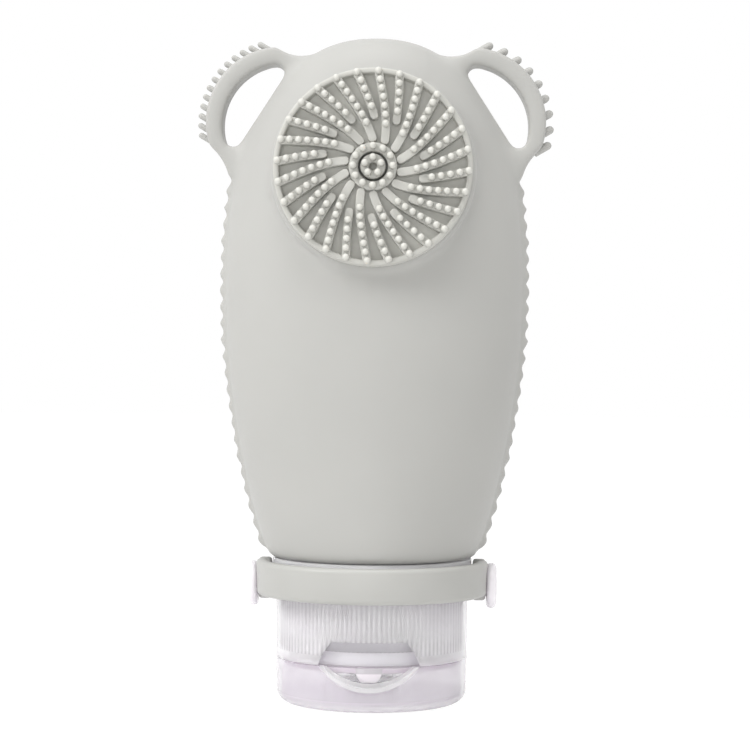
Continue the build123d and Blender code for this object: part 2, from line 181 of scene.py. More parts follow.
def spun(name, points, closed=True, steps=96):
    # a turned form: the profile goes once round the Z axis
    piece = profileRun(name, points, closed)
    editMode(piece)
    bpy.ops.mesh.select_all(action="SELECT")
    bpy.ops.mesh.spin(steps=steps, angle=2 * pi, center=(0, 0, 0), axis=(0, 0, 1))
    tidyNormals(piece)
    return piece


def rounded(piece, width, segments=3, limit=32):
    addModifier(
        piece, "BEVEL", width=width * mm, segments=segments, limit_method="ANGLE",
        angle_limit=radians(limit), harden_normals=False, miter_outer="MITER_ARC"
    )


# materials

# what all silicones share: the fine grain, the light inside and the dusty sheen
softLook = {
    "cloudDetail": 3.0, "cloudFrom": 0.3, "cloudTo": 0.7,
    "grainDetail": 4.0, "grainRough": 0.6, "grainFrom": 0.3, "grainTo": 0.7,
    "grainDeep": 0.00004, "roughSwing": 0.05,
    "glowRadius": (1.0, 0.9, 0.8), "glowDepth": 0.0012, "sheenSpread": 0.5,
}
# what all milky plastics share, with flow lines that are squashed along Z
milkyLook = {
    "cloudDetail": 3.0, "cloudFrom": 0.35, "cloudTo": 0.65,
    "flowScale": 120, "flowSquash": 9, "flowBump": 0.15, "flowDeep": 0.00006, "roughSwing": 0.04,
    "ior": 1.45, "glow": 1.0, "glowRadius": (1.0, 1.0, 1.0),
    # over this distance the inner walls' look turns into the outer walls'
    "innerStep": 0.0008,
}


def feed(owner, target, inputs):
    # each input is fed by another node's output or holds a plain value
    for key, value in inputs.items():
        if isinstance(value, bpy.types.NodeSocket):
            owner.node_tree.links.new(value, target.inputs[key])
        else:
            target.inputs[key].default_value = value


def addNode(owner, kind, inputs, **settings):
    made = owner.node_tree.nodes.new("ShaderNode" + kind)
    for key, value in settings.items():
        setattr(made, key, value)
    feed(owner, made, inputs)
    return made


def newMaterial(name):
    material = bpy.data.materials.new(name)
    material.use_nodes = True
    addNode(material, "TexCoord", {})
    return material


def shaderOf(material):
    return material.node_tree.nodes["Principled BSDF"]


def placeIn(material):
    return material.node_tree.nodes["Texture Coordinate"].outputs["Object"]


def source(material, name):
    return shaderOf(material).inputs[name].links[0].from_socket


def calc(owner, operation, *values):
    return addNode(owner, "Math", dict(enumerate(values)), operation=operation).outputs["Value"]


def calcVector(owner, operation, *values):
    made = addNode(owner, "VectorMath", dict(enumerate(values)), operation=operation)
    return made.outputs["Value" if operation == "LENGTH" else "Vector"]


def axesOf(owner, vector):
    return addNode(owner, "SeparateXYZ", {"Vector": vector}).outputs


def vectorOf(owner, x, y, z):
    return addNode(owner, "CombineXYZ", {"X": x, "Y": y, "Z": z}).outputs["Vector"]


def distanceOf(owner, x, y):
    return calcVector(owner, "LENGTH", vectorOf(owner, x, y, 0.0))


def spanned(owner, value, low, high, toLow=0.0, toHigh=1.0):
    return addNode(owner, "MapRange", {
        "Value": value, "From Min": low, "From Max": high, "To Min": toLow, "To Max": toHigh,
    }).outputs["Result"]


def ramp(owner, value, stops):
    made = addNode(owner, "ValToRGB", {"Fac": value})
    elements = made.color_ramp.elements
    while len(elements) < len(stops):
        elements.new(1.0)
    for element, (position, colour) in zip(elements, stops):
        element.position = position
        element.color = (*colour, 1)
    return made.outputs["Color"]


def mixed(owner, share, first, second, kind="RGBA"):
    one, two, result = {"RGBA": (6, 7, 2), "FLOAT": (2, 3, 0)}[kind]
    made = addNode(owner, "Mix", {0: share, one: first, two: second}, data_type=kind)
    return made.outputs[result]


def noise(owner, vector, scale, detail=2.0, roughness=0.5):
    return addNode(owner, "TexNoise", {
        "Vector": vector, "Scale": scale, "Detail": detail, "Roughness": roughness,
    }).outputs["Fac"]


def bumped(owner, height, strength, deep):
    return addNode(owner, "Bump", {
        "Strength": strength, "Distance": deep, "Height": height,
    }).outputs["Normal"]


def cloudTone(material, settings, look):
    # the base colour wanders slowly between a dark and a light tone
    cloud = noise(material, placeIn(material), settings["cloudScale"], look["cloudDetail"])
    return ramp(material, cloud, [
        (look["cloudFrom"], settings["dark"]), (look["cloudTo"], settings["light"]),
    ])


def siliconeMaterial(name, settings):
    material = newMaterial(name)
    look = softLook
    grain = noise(
        material, placeIn(material), settings["grainScale"], look["grainDetail"], look["grainRough"]
    )
    rough, swing = settings["roughness"], look["roughSwing"]
    feed(material, shaderOf(material), {
        "Base Color": cloudTone(material, settings, look),
        "Roughness": spanned(
            material, grain, look["grainFrom"], look["grainTo"], rough - swing, rough + swing
        ),
        "Normal": bumped(material, grain, settings["bump"], look["grainDeep"]),
        "Specular IOR Level": settings["specular"],
        "Subsurface Weight": settings["softGlow"],
        "Subsurface Radius": look["glowRadius"],
        "Subsurface Scale": look["glowDepth"],
        "Sheen Weight": settings["sheen"],
        "Sheen Roughness": look["sheenSpread"],
    })
    return material


def paintShadeByHeight(material, settings):
    # painted shade and painted highlight: the colour is scaled by height over the pad's floor,
    # darker on the floor and darkest on the ribs, lightest at the peg tips
    lay = addNode(material, "Mapping", {
        "Vector": placeIn(material), "Location": settings["origin"],
        "Rotation": (radians(settings["tilt"]), 0, 0),
    }, vector_type="TEXTURE").outputs["Vector"]
    rise = spanned(material, axesOf(material, lay)["Z"], settings["low"], settings["high"])
    paintedShades = ramp(material, rise, [(at, (share,) * 3) for at, share in settings["shades"]])
    shaded = calcVector(material, "MULTIPLY", source(material, "Base Color"), paintedShades)
    feed(material, shaderOf(material), {"Base Color": shaded})


def milkyMaterial(name, settings):
    # moulded polypropylene: partly clear, faintly cloudy, with flow lines round the part
    material = newMaterial(name)
    look = milkyLook
    place = placeIn(material)
    tone = cloudTone(material, settings, look)
    squashed = addNode(material, "Mapping", {"Vector": place, "Scale": (1, 1, look["flowSquash"])})
    streaks = noise(material, squashed.outputs["Vector"], look["flowScale"])
    rough, swing = settings["roughness"], look["roughSwing"]
    feed(material, shaderOf(material), {
        "Base Color": tone,
        "Normal": bumped(material, streaks, look["flowBump"], look["flowDeep"]),
        "Roughness": spanned(material, streaks, 0.0, 1.0, rough - swing, rough + swing),
        "IOR": look["ior"],
        "Subsurface Weight": look["glow"],
        "Subsurface Radius": look["glowRadius"],
        "Subsurface Scale": settings["depth"],
        "Alpha": settings["alpha"],
    })
    if "inner" in settings:
        # walls nearer to the axis have another colour and let another share of the light through
        x, y, _ = axesOf(material, place)
        away = distanceOf(material, x, y)
        near, far = settings["innerR"], settings["innerR"] + look["innerStep"]
        inward = spanned(material, away, far, near)
        feed(material, shaderOf(material), {
            "Alpha": spanned(material, away, near, far, settings["inner"], settings["alpha"]),
            "Base Color": mixed(material, inward, tone, (*settings["innerColour"], 1)),
        })
    return material


def stripeSkin(material, settings):
    # the ribs behind the milky outer skirt show as upright lines in it, strongest at their foot
    x, y, z = axesOf(material, placeIn(material))
    turns = calc(material, "MULTIPLY", calc(material, "ARCTAN2", x, y), settings["count"])
    rise = spanned(material, z, settings["low"], settings["high"])
    fade = ramp(material, rise, [(at, (share,) * 3) for at, share in settings["fade"]])
    lines = calc(material, "MULTIPLY", calc(material, "COSINE", turns), fade)
    for name, swing in (("Alpha", settings["alphaSwing"]), ("Base Color", settings["toneSwing"])):
        factor = calc(material, "MULTIPLY_ADD", lines, swing, 1.0)
        scaled = addNode(
            material, "VectorMath", {0: source(material, name), "Scale": factor}, operation="SCALE"
        )
        feed(material, shaderOf(material), {name: scaled.outputs["Vector"]})


def tintWithin(material, box):
    # a colour and a density of their own inside limits of X, of the distance from the axis,
    # which counts as negative in front of it, and of Z
    x, y, z = axesOf(material, placeIn(material))
    depth = calc(material, "MULTIPLY", distanceOf(material, x, y), calc(material, "SIGN", y))
    if "arcZ" in box:
        # the first limit is then the distance from a point at that height, seen from the front
        x = distanceOf(material, x, calc(material, "SUBTRACT", z, box["arcZ"] * mm))
    middle = [(low + high) / 2 * mm for low, high in zip(box["low"], box["high"])]
    half = [(high - low) / 2 * mm for low, high in zip(box["low"], box["high"])]
    spot = calcVector(material, "SUBTRACT", vectorOf(material, x, depth, z), middle)
    spot = calcVector(material, "ABSOLUTE", calcVector(material, "DIVIDE", spot, half))
    x, y, z = axesOf(material, spot)
    farthest = calc(material, "MAXIMUM", calc(material, "MAXIMUM", x, y), z)
    inside = spanned(material, farthest, 1.0, 1.0 - box["soft"])
    feed(material, shaderOf(material), {
        "Base Color": mixed(material, inside, source(material, "Base Color"), (*box["colour"], 1)),
        "Alpha": mixed(material, inside, source(material, "Alpha"), box["alpha"], "FLOAT"),
    })


bodySilicone = siliconeMaterial("bodySilicone", {
    "dark": (0.376, 0.373, 0.356), "light": (0.406, 0.403, 0.384), "cloudScale": 22,
    "grainScale": 1400, "roughness": 0.52, "bump": 0.12, "specular": 0.35,
    "softGlow": 0.12, "sheen": 0.14,
})
# painted light: the pad is of the same silicone as the body, and its lighter base colour stands in
# for the light that falls on it
padSilicone = siliconeMaterial("padSilicone", {
    "dark": (0.565, 0.56, 0.52), "light": (0.605, 0.60, 0.56), "cloudScale": 60,
    "grainScale": 1600, "roughness": 0.5, "bump": 0.1, "specular": 0.35,
    "softGlow": 0.1, "sheen": 0.05,
})
# painted shade on the pad's floor and ribs and painted highlight on its peg tips, on the button too
paintShadeByHeight(padSilicone, {
    "origin": (0, -0.01735, 0.1097), "tilt": 86.0, "low": 0.001, "high": 0.0048,
    "shades": [(0.0, 0.90), (0.45, 0.77), (1.0, 0.96)],
})
strapSilicone = siliconeMaterial("strapSilicone", {
    "dark": (0.382, 0.38, 0.361), "light": (0.411, 0.409, 0.39), "cloudScale": 50,
    "grainScale": 1200, "roughness": 0.42, "bump": 0.1, "specular": 0.4,
    "softGlow": 0.1, "sheen": 0.05,
})
sealSilicone = siliconeMaterial("sealSilicone", {
    "dark": (0.74, 0.73, 0.71), "light": (0.80, 0.79, 0.77), "cloudScale": 80,
    "grainScale": 1500, "roughness": 0.38, "bump": 0.1, "specular": 0.4,
    "softGlow": 0.25, "sheen": 0.0,
})
capPlastic = milkyMaterial("capPlastic", {
    "dark": (0.93, 0.865, 0.94), "light": (0.97, 0.91, 0.98), "cloudScale": 70,
    "roughness": 0.2, "alpha": 0.40, "depth": 0.003, "inner": 0.97, "innerR": 0.0163,
    "innerColour": (0.97, 0.95, 0.985),
})
lidPlastic = milkyMaterial("lidPlastic", {
    "dark": (0.73, 0.66, 0.75), "light": (0.78, 0.72, 0.79), "cloudScale": 70,
    "roughness": 0.18, "alpha": 0.28, "depth": 0.004, "inner": 0.08, "innerR": 0.0150,
    "innerColour": (0.93, 0.89, 0.95),
})
stripeSkin(capPlastic, {
    "count": 120, "low": 0.011, "high": 0.023, "alphaSwing": 0.22, "toneSwing": 0.03,
    "fade": [(0.0, 0.0), (0.05, 1.0), (0.22, 1.0), (0.36, 0.35), (0.95, 0.35)],
})
for box in (
    # the recess's slanted face, painted dark grey and denser as painted shade for it faces down,
    # then the recess's wall, the rim that stands into the lid, the nub on it
    {"low": (-9.3, -19.93, 12.12), "high": (9.3, -17.66, 14.36), "soft": 0.02,
     "colour": (0.48, 0.47, 0.49), "alpha": 0.85},
    {"low": (-10.7, -17.7, 9.4), "high": (10.7, -16.4, 12.1), "soft": 0.02,
     "colour": (0.74, 0.72, 0.76), "alpha": 0.9},
    {"low": (-19.0, -18.5, 5.0), "high": (19.0, -14.0, 9.4), "soft": 0.02,
     "colour": (0.64, 0.57, 0.64), "alpha": 0.75},
    {"low": (-3.0, -18.8, 6.0), "high": (3.0, -16.9, 7.95), "soft": 0.02,
     "colour": (0.82, 0.76, 0.81), "alpha": 0.8},
    # the solid rim of the screw part, at its front
    {"low": (-20.5, -20.5, 9.2), "high": (20.5, -17.75, 11.4), "soft": 0.02,
     "colour": (0.92, 0.87, 0.93), "alpha": 0.46},
    # the nozzle, which is nearly clear
    {"low": (-6.0, -6.0, 7.0), "high": (6.0, 6.0, 9.44), "soft": 0.02,
     "colour": (0.95, 0.92, 0.95), "alpha": 0.1},
):
    tintWithin(capPlastic, box)
for box in (
    # the thick round foot, and the inside of the lid's floor
    {"low": (-20.2, -20.2, -0.1), "high": (20.2, 20.2, 2.3), "soft": 0.1,
     "colour": (0.78, 0.71, 0.79), "alpha": 0.5},
    {"low": (-18.74, -18.74, 0.9), "high": (18.74, 18.74, 1.9), "soft": 0.02,
     "colour": (0.66, 0.59, 0.70), "alpha": 0.42},
    # the scoop's sloped lip, painted near white and denser as a painted highlight along it
    {"low": (-12.95, -20.1, 3.0), "high": (12.95, -17.5, 9.35), "soft": 0.02, "arcZ": 17.03,
     "colour": (1.0, 0.97, 1.0), "alpha": 0.55},
):
    tintWithin(lidPlastic, box)
ribPlastic = milkyMaterial("ribPlastic", {
    "dark": (0.90, 0.88, 0.93), "light": (0.95, 0.93, 0.97), "cloudScale": 70,
    "roughness": 0.2, "alpha": 0.75, "depth": 0.001,
})
collarPlastic = milkyMaterial("collarPlastic", {
    "dark": (0.88, 0.86, 0.91), "light": (0.94, 0.92, 0.96), "cloudScale": 70,
    "roughness": 0.25, "alpha": 0.8, "depth": 0.003,
})
pinPlastic = milkyMaterial("pinPlastic", {
    "dark": (0.71, 0.68, 0.71), "light": (0.77, 0.74, 0.77), "cloudScale": 90,
    "roughness": 0.25, "alpha": 1.0, "depth": 0.003,
})
print("scene: materials ready")


def dress(piece, material, bodyName, slotName, *nodeNames):
    piece.data.materials.clear()
    piece.data.materials.append(material)
    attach(piece, bodyName)
    if nodeNames:
        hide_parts(*nodeNames)


# camera, at the photograph's height and distance

view = {
    "away": 0.430, "height": 0.0681, "lens": 98.3, "turn": 1.5, "roll": 0.487, "side": 0.00025,
}
aim = Euler((pi / 2, 0, radians(view["turn"]))).to_matrix()
aside = aim @ Vector((view["side"], 0, 0))
deselectAll()
bpy.ops.object.camera_add(location=(
    view["away"] * sin(radians(view["turn"])) + aside.x,
    -view["away"] * cos(radians(view["turn"])) + aside.y,
    view["height"],
))
camera = bpy.context.object
camera.name = "photoCamera"
camera.rotation_euler = (aim @ Matrix.Rotation(radians(view["roll"]), 3, "Z")).to_euler()
camera.data.lens = view["lens"]
camera.data.sensor_width = 36
camera.data.clip_start = 0.01
bpy.context.scene.camera = camera


# soft body with its ears and side teeth

bodyForm = {
    "sides": 48,
    # height, half width and half depth in millimetres
    "stations": [
        (30.0, 20.6, 20.5), (30.25, 21.3, 21.2), (31.0, 21.8, 21.5), (34.0, 23.2, 21.6),
        (41.0, 25.35, 21.6), (52.0, 27.95, 21.3), (64.0, 29.95, 20.6), (75.0, 31.2, 19.7),
        (86.0, 31.65, 18.6), (97.0, 31.3, 17.5), (107.0, 30.25, 16.25), (114.0, 28.55, 15.15),
        (121.0, 25.5, 13.8), (127.0, 21.9, 12.0), (132.0, 17.7, 9.75), (135.6, 13.2, 7.3),
        (137.7, 8.4, 4.7), (138.6, 3.6, 2.1),
    ],
    "earX": 19.85, "earZ": 120.9, "earR": 15.75, "earDepth": 7.0, "earEdge": 1.0,
    # round cutters at the ear's two ends: the dip beside the crown, and the one above the teeth
    "saddles": [(15.6, 143.4, 8.7), (41.8, 106.9, 11.4)],
    "holeX": 19.1, "holeZ": 120.2, "holeR": 12.9, "holeCorner": 1.85,
    # the hole's straight side: its normal's angle, and its distance from the origin
    "holeSide": 32.75, "holeFar": 86.7, "holeSteps": (8, 48), "through": 20.0,
    "bossR": 20.8, "bossEdge": 0.5, "bossDeep": 17.0,
    "padY": -17.35, "padZ": 109.7, "padLean": 4.0,
    "teeth": 22, "toothHigh": 1.15, "toothThick": 4.6, "firstTooth": 33.75, "lastTooth": 106.35,
    "neckTop": 32.0, "neckR": 12.3, "lipR": 13.9, "boreR": 10.8, "neckEnd": 12.25,
    "lipHigh": 1.2, "boreTop": 33.0, "boreOver": 4, "holeReach": 15, "voxel": 0.52,
    # the ears' softening: repeats, lowest height, least half width, and least and largest depth
    "earBlend": 50, "blendFrom": (104, 11, 2.9, 13.5), "allBlend": 4,
}


def halfWidth(height):
    rows = bodyForm["stations"]
    for (low, wide, _), (high, nextWide, _) in zip(rows, rows[1:]):
        if low <= height <= high:
            return wide + (nextWide - wide) * (height - low) / (high - low)
    return rows[-1][1]


def softHull():
    rows = bodyForm["stations"]
    deselectAll()
    bpy.ops.mesh.primitive_circle_add(
        vertices=bodyForm["sides"], radius=mm, fill_type="NGON", location=(0, 0, rows[0][0] * mm)
    )
    hull = newest("bottleBody")
    bpy.ops.object.mode_set(mode="EDIT")
    bpy.ops.mesh.select_all(action="SELECT")
    bpy.ops.transform.resize(value=(rows[0][1], rows[0][2], 1), center_override=(0, 0, 0))
    for (low, wide, deep), (high, nextWide, nextDeep) in zip(rows, rows[1:]):
        rise = (0, 0, (high - low) * mm)
        bpy.ops.mesh.extrude_region_move(TRANSFORM_OT_translate={"value": rise})
        bpy.ops.transform.resize(
            value=(nextWide / wide, nextDeep / deep, 1), center_override=(0, 0, 0)
        )
    bpy.ops.object.mode_set(mode="OBJECT")
    tidyNormals(hull)
    addModifier(hull, "SUBSURF", levels=2, render_levels=2)
    return hull


def ontoPadPlane(piece):
    pick(piece)
    piece.rotation_euler = (radians(90 - bodyForm["padLean"]), 0, 0)
    piece.location = (0, bodyForm["padY"] * mm, bodyForm["padZ"] * mm)
    applyAll(piece)


def earDisc(side):
    disc = cylinder(
        "earDisc", bodyForm["earR"], bodyForm["earDepth"],
        (side * bodyForm["earX"], 0, bodyForm["earZ"]), 72, alongY
    )
    for x, z, r in bodyForm["saddles"]:
        cutWith(disc, cylinder("saddleCut", r, bodyForm["through"], (side * x, 0, z), 72, alongY))
    rounded(disc, bodyForm["earEdge"], 4, 40)
    return disc


def holeOutline():
    # a D: a large arc, a straight side, and a small arc at each corner between them
    centre = Vector((bodyForm["holeX"], bodyForm["holeZ"]))
    facing = radians(bodyForm["holeSide"])
    normal = Vector((cos(facing), sin(facing)))
    along = Vector((-normal.y, normal.x))
    small = bodyForm["holeCorner"]
    rise = bodyForm["holeFar"] + small - normal.dot(centre)
    reach = ((bodyForm["holeR"] - small) ** 2 - rise ** 2) ** 0.5
    turn = atan2(reach, rise)
    outline = []
    cornerSteps, arcSteps = bodyForm["holeSteps"]
    for sign in (1, -1):
        corner = centre + normal * rise + along * sign * reach
        first, last = (pi, turn) if sign > 0 else (-turn, -pi)
        for index in range(cornerSteps + 1):
            angle = facing + first + (last - first) * index / cornerSteps
            outline.append(corner + Vector((cos(angle), sin(angle))) * small)
        if sign > 0:
            for index in range(1, arcSteps):
                angle = facing + turn * (1 - 2 * index / arcSteps)
                outline.append(centre + Vector((cos(angle), sin(angle))) * bodyForm["holeR"])
    return outline


def earHole(side):
    hole = profileRun("earHole", [(side * spot.x, spot.y) for spot in holeOutline()], True)
    editMode(hole)
    bpy.ops.mesh.select_all(action="SELECT")
    bpy.ops.mesh.edge_face_add()
    bpy.ops.transform.translate(value=(0, -bodyForm["holeReach"] * mm, 0))
    bpy.ops.mesh.extrude_region_move(
        TRANSFORM_OT_translate={"value": (0, 2 * bodyForm["holeReach"] * mm, 0)}
    )
    tidyNormals(hole)
    return hole


def sideTeeth():
    rows = []
    step = (bodyForm["lastTooth"] - bodyForm["firstTooth"]) / (bodyForm["teeth"] - 1)
    for side in (-1, 1):
        for index in range(bodyForm["teeth"]):
            height = bodyForm["firstTooth"] + index * step
            rows.append(cylinder(
                "tooth", step / 2, bodyForm["toothThick"], (side * halfWidth(height), 0, height),
                4, alongY, (bodyForm["toothHigh"] / (step / 2), 1, 1)
            ))
    return rows


def softNeck():
    return spun("softNeck", [
        (0, bodyForm["neckEnd"]), (bodyForm["lipR"], bodyForm["neckEnd"]),
        (bodyForm["lipR"], bodyForm["neckEnd"] + bodyForm["lipHigh"]),
        (bodyForm["neckR"], bodyForm["neckEnd"] + bodyForm["lipHigh"]),
        (bodyForm["neckR"], bodyForm["neckTop"]), (0, bodyForm["neckTop"]),
    ], closed=False, steps=64)


def makeBody():
    hull = softHull()
    print("scene: body hull done")
    deep = bodyForm["bossDeep"]
    boss = cylinder("padBoss", bodyForm["bossR"], deep, (0, 0, -deep / 2))
    rounded(boss, bodyForm["bossEdge"])
    ontoPadPlane(boss)
    parts = [hull, boss, earDisc(-1), earDisc(1), softNeck(), *sideTeeth()]
    body = joinAll(parts, "bottleBody")
    addModifier(body, "REMESH", mode="VOXEL", voxel_size=bodyForm["voxel"] * mm, adaptivity=0)
    print("scene: body joined", len(body.data.polygons))
    for side in (-1, 1):
        cutWith(body, earHole(side))
    depth = bodyForm["boreTop"] - bodyForm["neckEnd"] + bodyForm["boreOver"]
    bore = (0, 0, bodyForm["boreTop"] - depth / 2)
    cutWith(body, cylinder("neckBore", bodyForm["boreR"], depth, bore, 64))
    addModifier(body, "REMESH", mode="VOXEL", voxel_size=bodyForm["voxel"] * mm, adaptivity=0)
    return body


body = makeBody()
print("scene: body cut", len(body.data.polygons))


def roundEars(piece):
    # the ears are softly rounded, and run into the body without a crease
    low, side, near, far = (length * mm for length in bodyForm["blendFrom"])
    selectWhere(piece, lambda v: v.co.z > low and abs(v.co.x) > side and near < abs(v.co.y) < far)
    bpy.ops.mesh.vertices_smooth(factor=0.5, repeat=bodyForm["earBlend"])
    bpy.ops.object.mode_set(mode="OBJECT")
    selectWhere(piece, lambda v: True)
    bpy.ops.mesh.vertices_smooth(factor=0.5, repeat=bodyForm["allBlend"])
    bpy.ops.object.mode_set(mode="OBJECT")


roundEars(body)
smoothAll(body)
dress(body, bodySilicone, "bottle", "body_silicone", "bottle_body")
print("scene: body finished")


# pins on the ears

earPins = {
    "rise": 30.0, "foot": 1.6, "domeAngles": (32, 60, 80),
    "left": {"count": 13, "radius": 0.62, "reach": 1.75, "first": 73.0, "step": 6.75},
    "right": {"count": 9, "radius": 0.86, "reach": 1.6, "first": 74.9, "step": 11.06},
}


def domedPeg(name, radius, length, sides=10):
    # stands on the X-Y plane, with a round tip at its length
    peg = cylinder(name, radius, length - radius, (0, 0, (length - radius) / 2), sides)
    top = (length - radius) * mm
    selectWhere(peg, lambda f: f.normal.z > 0.9 and f.center.z > top - mergeWithin, "FACE")
    reached = 0.0
    width = 1.0
    for angle in earPins["domeAngles"]:
        rise = sin(radians(angle))
        narrow = cos(radians(angle))
        bpy.ops.mesh.extrude_region_move(
            TRANSFORM_OT_translate={"value": (0, 0, (rise - reached) * radius * mm)}
        )
        bpy.ops.transform.resize(
            value=(narrow / width, narrow / width, 1), center_override=(0, 0, 0)
        )
        reached = rise
        width = narrow
    bpy.ops.object.mode_set(mode="OBJECT")
    smoothAngle(peg, 60)
    return peg


def earPinSet(side, name, sizes):
    length = sizes["reach"] + earPins["foot"] + sizes["radius"]
    pin = domedPeg(name, sizes["radius"], length, 14)
    copies = []
    lean = earPins["rise"] if side > 0 else 180 - earPins["rise"]
    way = Vector((cos(radians(lean)), 0, sin(radians(lean))))
    for index in range(sizes["count"]):
        angle = radians(sizes["first"] - index * sizes["step"])
        reach = bodyForm["earR"] + sizes["reach"]
        tip = Vector((
            side * (bodyForm["earX"] + reach * cos(angle)), 0, bodyForm["earZ"] + reach * sin(angle)
        ))
        one = copyOf(pin)
        one.location = (tip - way * length) * mm
        one.rotation_euler = (0, radians(90 - lean), 0)
        applyAll(one)
        copies.append(one)
    pick(pin)
    bpy.ops.object.delete()
    dress(joinAll(copies, name), bodySilicone, "bottle", "body_silicone")


earPinSet(-1, "leftEarPins", earPins["left"])
earPinSet(1, "rightEarPins", earPins["right"])
print("scene: ear pins done")


# scrubbing pad

pad = {
    "r": 20.05, "plate": 1.0, "ridge": 1.15, "ribHigh": 2.0, "ribWide": 1.7, "ribs": 14,
    "firstTurn": -114.0, "longIn": 5.8, "shortIn": 10.4, "ribOut": 19.5,
    "swirl": 29.5, "fade": 10.6, "pegR": 0.71, "pegHigh": 1.9,
    "longPegs": (8.85, 7), "shortPegs": (12.0, 5), "pegsTo": 19.2,
    "hubR": 4.9, "hubHole": 3.0, "hubPegR": 4.0, "hubPegs": 12,
    "ribEdge": 0.78, "ribSteps": 16, "ribLow": 0.5, "edge": 0.4, "pegSunk": 0.6,
    # a rib's round end: shares of half its width along it, and of its full width across it
    "ribTip": 0.35, "ribEnd": [(0.18, 0.68), (0.5, 0.9), (1.0, 1.0)],
}


def ribTurn(radius, start):
    return start + pad["swirl"] * (1 - exp(-(radius - pad["longIn"]) / pad["fade"]))


def polar(radius, turn):
    return Vector((radius * cos(radians(turn)), radius * sin(radians(turn)), 0.0))


def ribForm(name, inner, start):
    # a narrow wall that is drawn out along the rib's line, then rounded on top
    steps = pad["ribSteps"]
    line = [
        polar(r, ribTurn(r, start))
        for r in (inner + (pad["ribOut"] - inner) * index / steps for index in range(steps + 1))
    ]
    heading = (line[1] - line[0]).normalized()
    half = pad["ribWide"] / 2
    back = line[0] - heading * half  # the round end lies inside the rib's length
    deselectAll()
    bpy.ops.mesh.primitive_plane_add(size=1, location=(0, 0, 0), rotation=(0, pi / 2, 0))
    rib = newest(name)
    low = pad["ribLow"]
    high = pad["plate"] + pad["ribHigh"]
    editMode(rib)
    bpy.ops.mesh.select_all(action="SELECT")
    bpy.ops.transform.resize(
        value=(1, pad["ribWide"] * mm * pad["ribTip"], (high - low) * mm),
        center_override=(0, 0, 0)
    )
    angle = heading.to_2d().angle_signed(Vector((1, 0)))
    bpy.ops.transform.rotate(value=-angle, orient_axis="Z", center_override=(0, 0, 0))
    bpy.ops.transform.translate(value=(back + Vector((0, 0, (low + high) / 2))) * mm)
    here = back
    ends = [(back + heading * half * share, wide) for share, wide in pad["ribEnd"]]
    now = pad["ribTip"]
    for spot, wide in ends + [(p, 1.0) for p in line[1:]]:
        move = spot - here
        if move.length < 0.0001:
            continue
        bpy.ops.mesh.extrude_region_move(TRANSFORM_OT_translate={"value": move * mm})
        newHeading = move.normalized()
        turn = newHeading.to_2d().angle_signed(heading.to_2d())
        bpy.ops.transform.rotate(value=-turn, orient_axis="Z", center_override=spot * mm)
        if abs(wide / now - 1) > 0.001:
            bpy.ops.transform.resize(
                value=(wide / now, wide / now, 1), center_override=spot * mm
            )
            now = wide
        here = spot
        heading = newHeading
    bpy.ops.object.mode_set(mode="OBJECT")
    tidyNormals(rib)
    rounded(rib, pad["ribEdge"], 3, 50)
    return rib


def turnedCopy(piece, turn):
    one = copyOf(piece)
    one.rotation_euler = (0, 0, radians(turn))
    applyAll(one)
    return one


def makePad():
    plate = spun("padPlate", [
        (pad["hubHole"], 0), (pad["r"], 0), (pad["r"], pad["plate"] + pad["ribHigh"]),
        (pad["r"] - pad["ridge"], pad["plate"] + pad["ribHigh"]),
        (pad["r"] - pad["ridge"], pad["plate"]), (pad["hubR"], pad["plate"]),
        (pad["hubR"], pad["plate"] + pad["ribHigh"]),
        (pad["hubHole"], pad["plate"] + pad["ribHigh"]),
    ], steps=144)
    rounded(plate, pad["edge"])
    parts = [plate]
    longRib = ribForm("longRib", pad["longIn"], pad["firstTurn"])
    shortRib = ribForm("shortRib", pad["shortIn"], pad["firstTurn"] + 180 / pad["ribs"])
    for copy in range(pad["ribs"]):
        for rib in (longRib, shortRib):
            parts.append(turnedCopy(rib, copy * 360 / pad["ribs"]))
    pick(longRib, shortRib)
    bpy.ops.object.delete()
    ribbed = joinAll(parts, "scrubPad")
    print("scene: pad ribs done")
    spots = []
    for copy in range(pad["ribs"]):
        longStart = pad["firstTurn"] + copy * 360 / pad["ribs"]
        for (first, count), start in (
            (pad["longPegs"], longStart), (pad["shortPegs"], longStart + 180 / pad["ribs"]),
        ):
            for index in range(count):
                r = first + (pad["pegsTo"] - first) * index / (count - 1)
                spots.append(polar(r, ribTurn(r, start)))
    for index in range(pad["hubPegs"]):
        spots.append(polar(pad["hubPegR"], 90 + index * 360 / pad["hubPegs"]))
    pegs = pegField("padPegs", spots)
    whole = joinAll([ribbed, pegs], "scrubPad")
    smoothAngle(whole, 40)
    ontoPadPlane(whole)
    dress(whole, padSilicone, "bottle", "pad_silicone", "brush_pad")


def pegField(name, spots):
    base = pad["plate"] + pad["ribHigh"] - pad["pegSunk"]
    peg = domedPeg(name, pad["pegR"], pad["pegHigh"] + pad["pegSunk"])
    copies = []
    for spot in spots:
        one = copyOf(peg)
        one.location = (spot.x * mm, spot.y * mm, base * mm)
        applyAll(one)
        copies.append(one)
    pick(peg)
    bpy.ops.object.delete()
    return joinAll(copies, name)


makePad()
print("scene: pad done")


# button through the pad's middle

button = {
    "r": 2.55, "holeR": 0.8, "holeLow": 0.6, "pegRing": 1.7, "pegs": 5,
    "stemR": 1.6, "stemLong": 3.0, "lift": 0.02, "edge": 0.3,
}


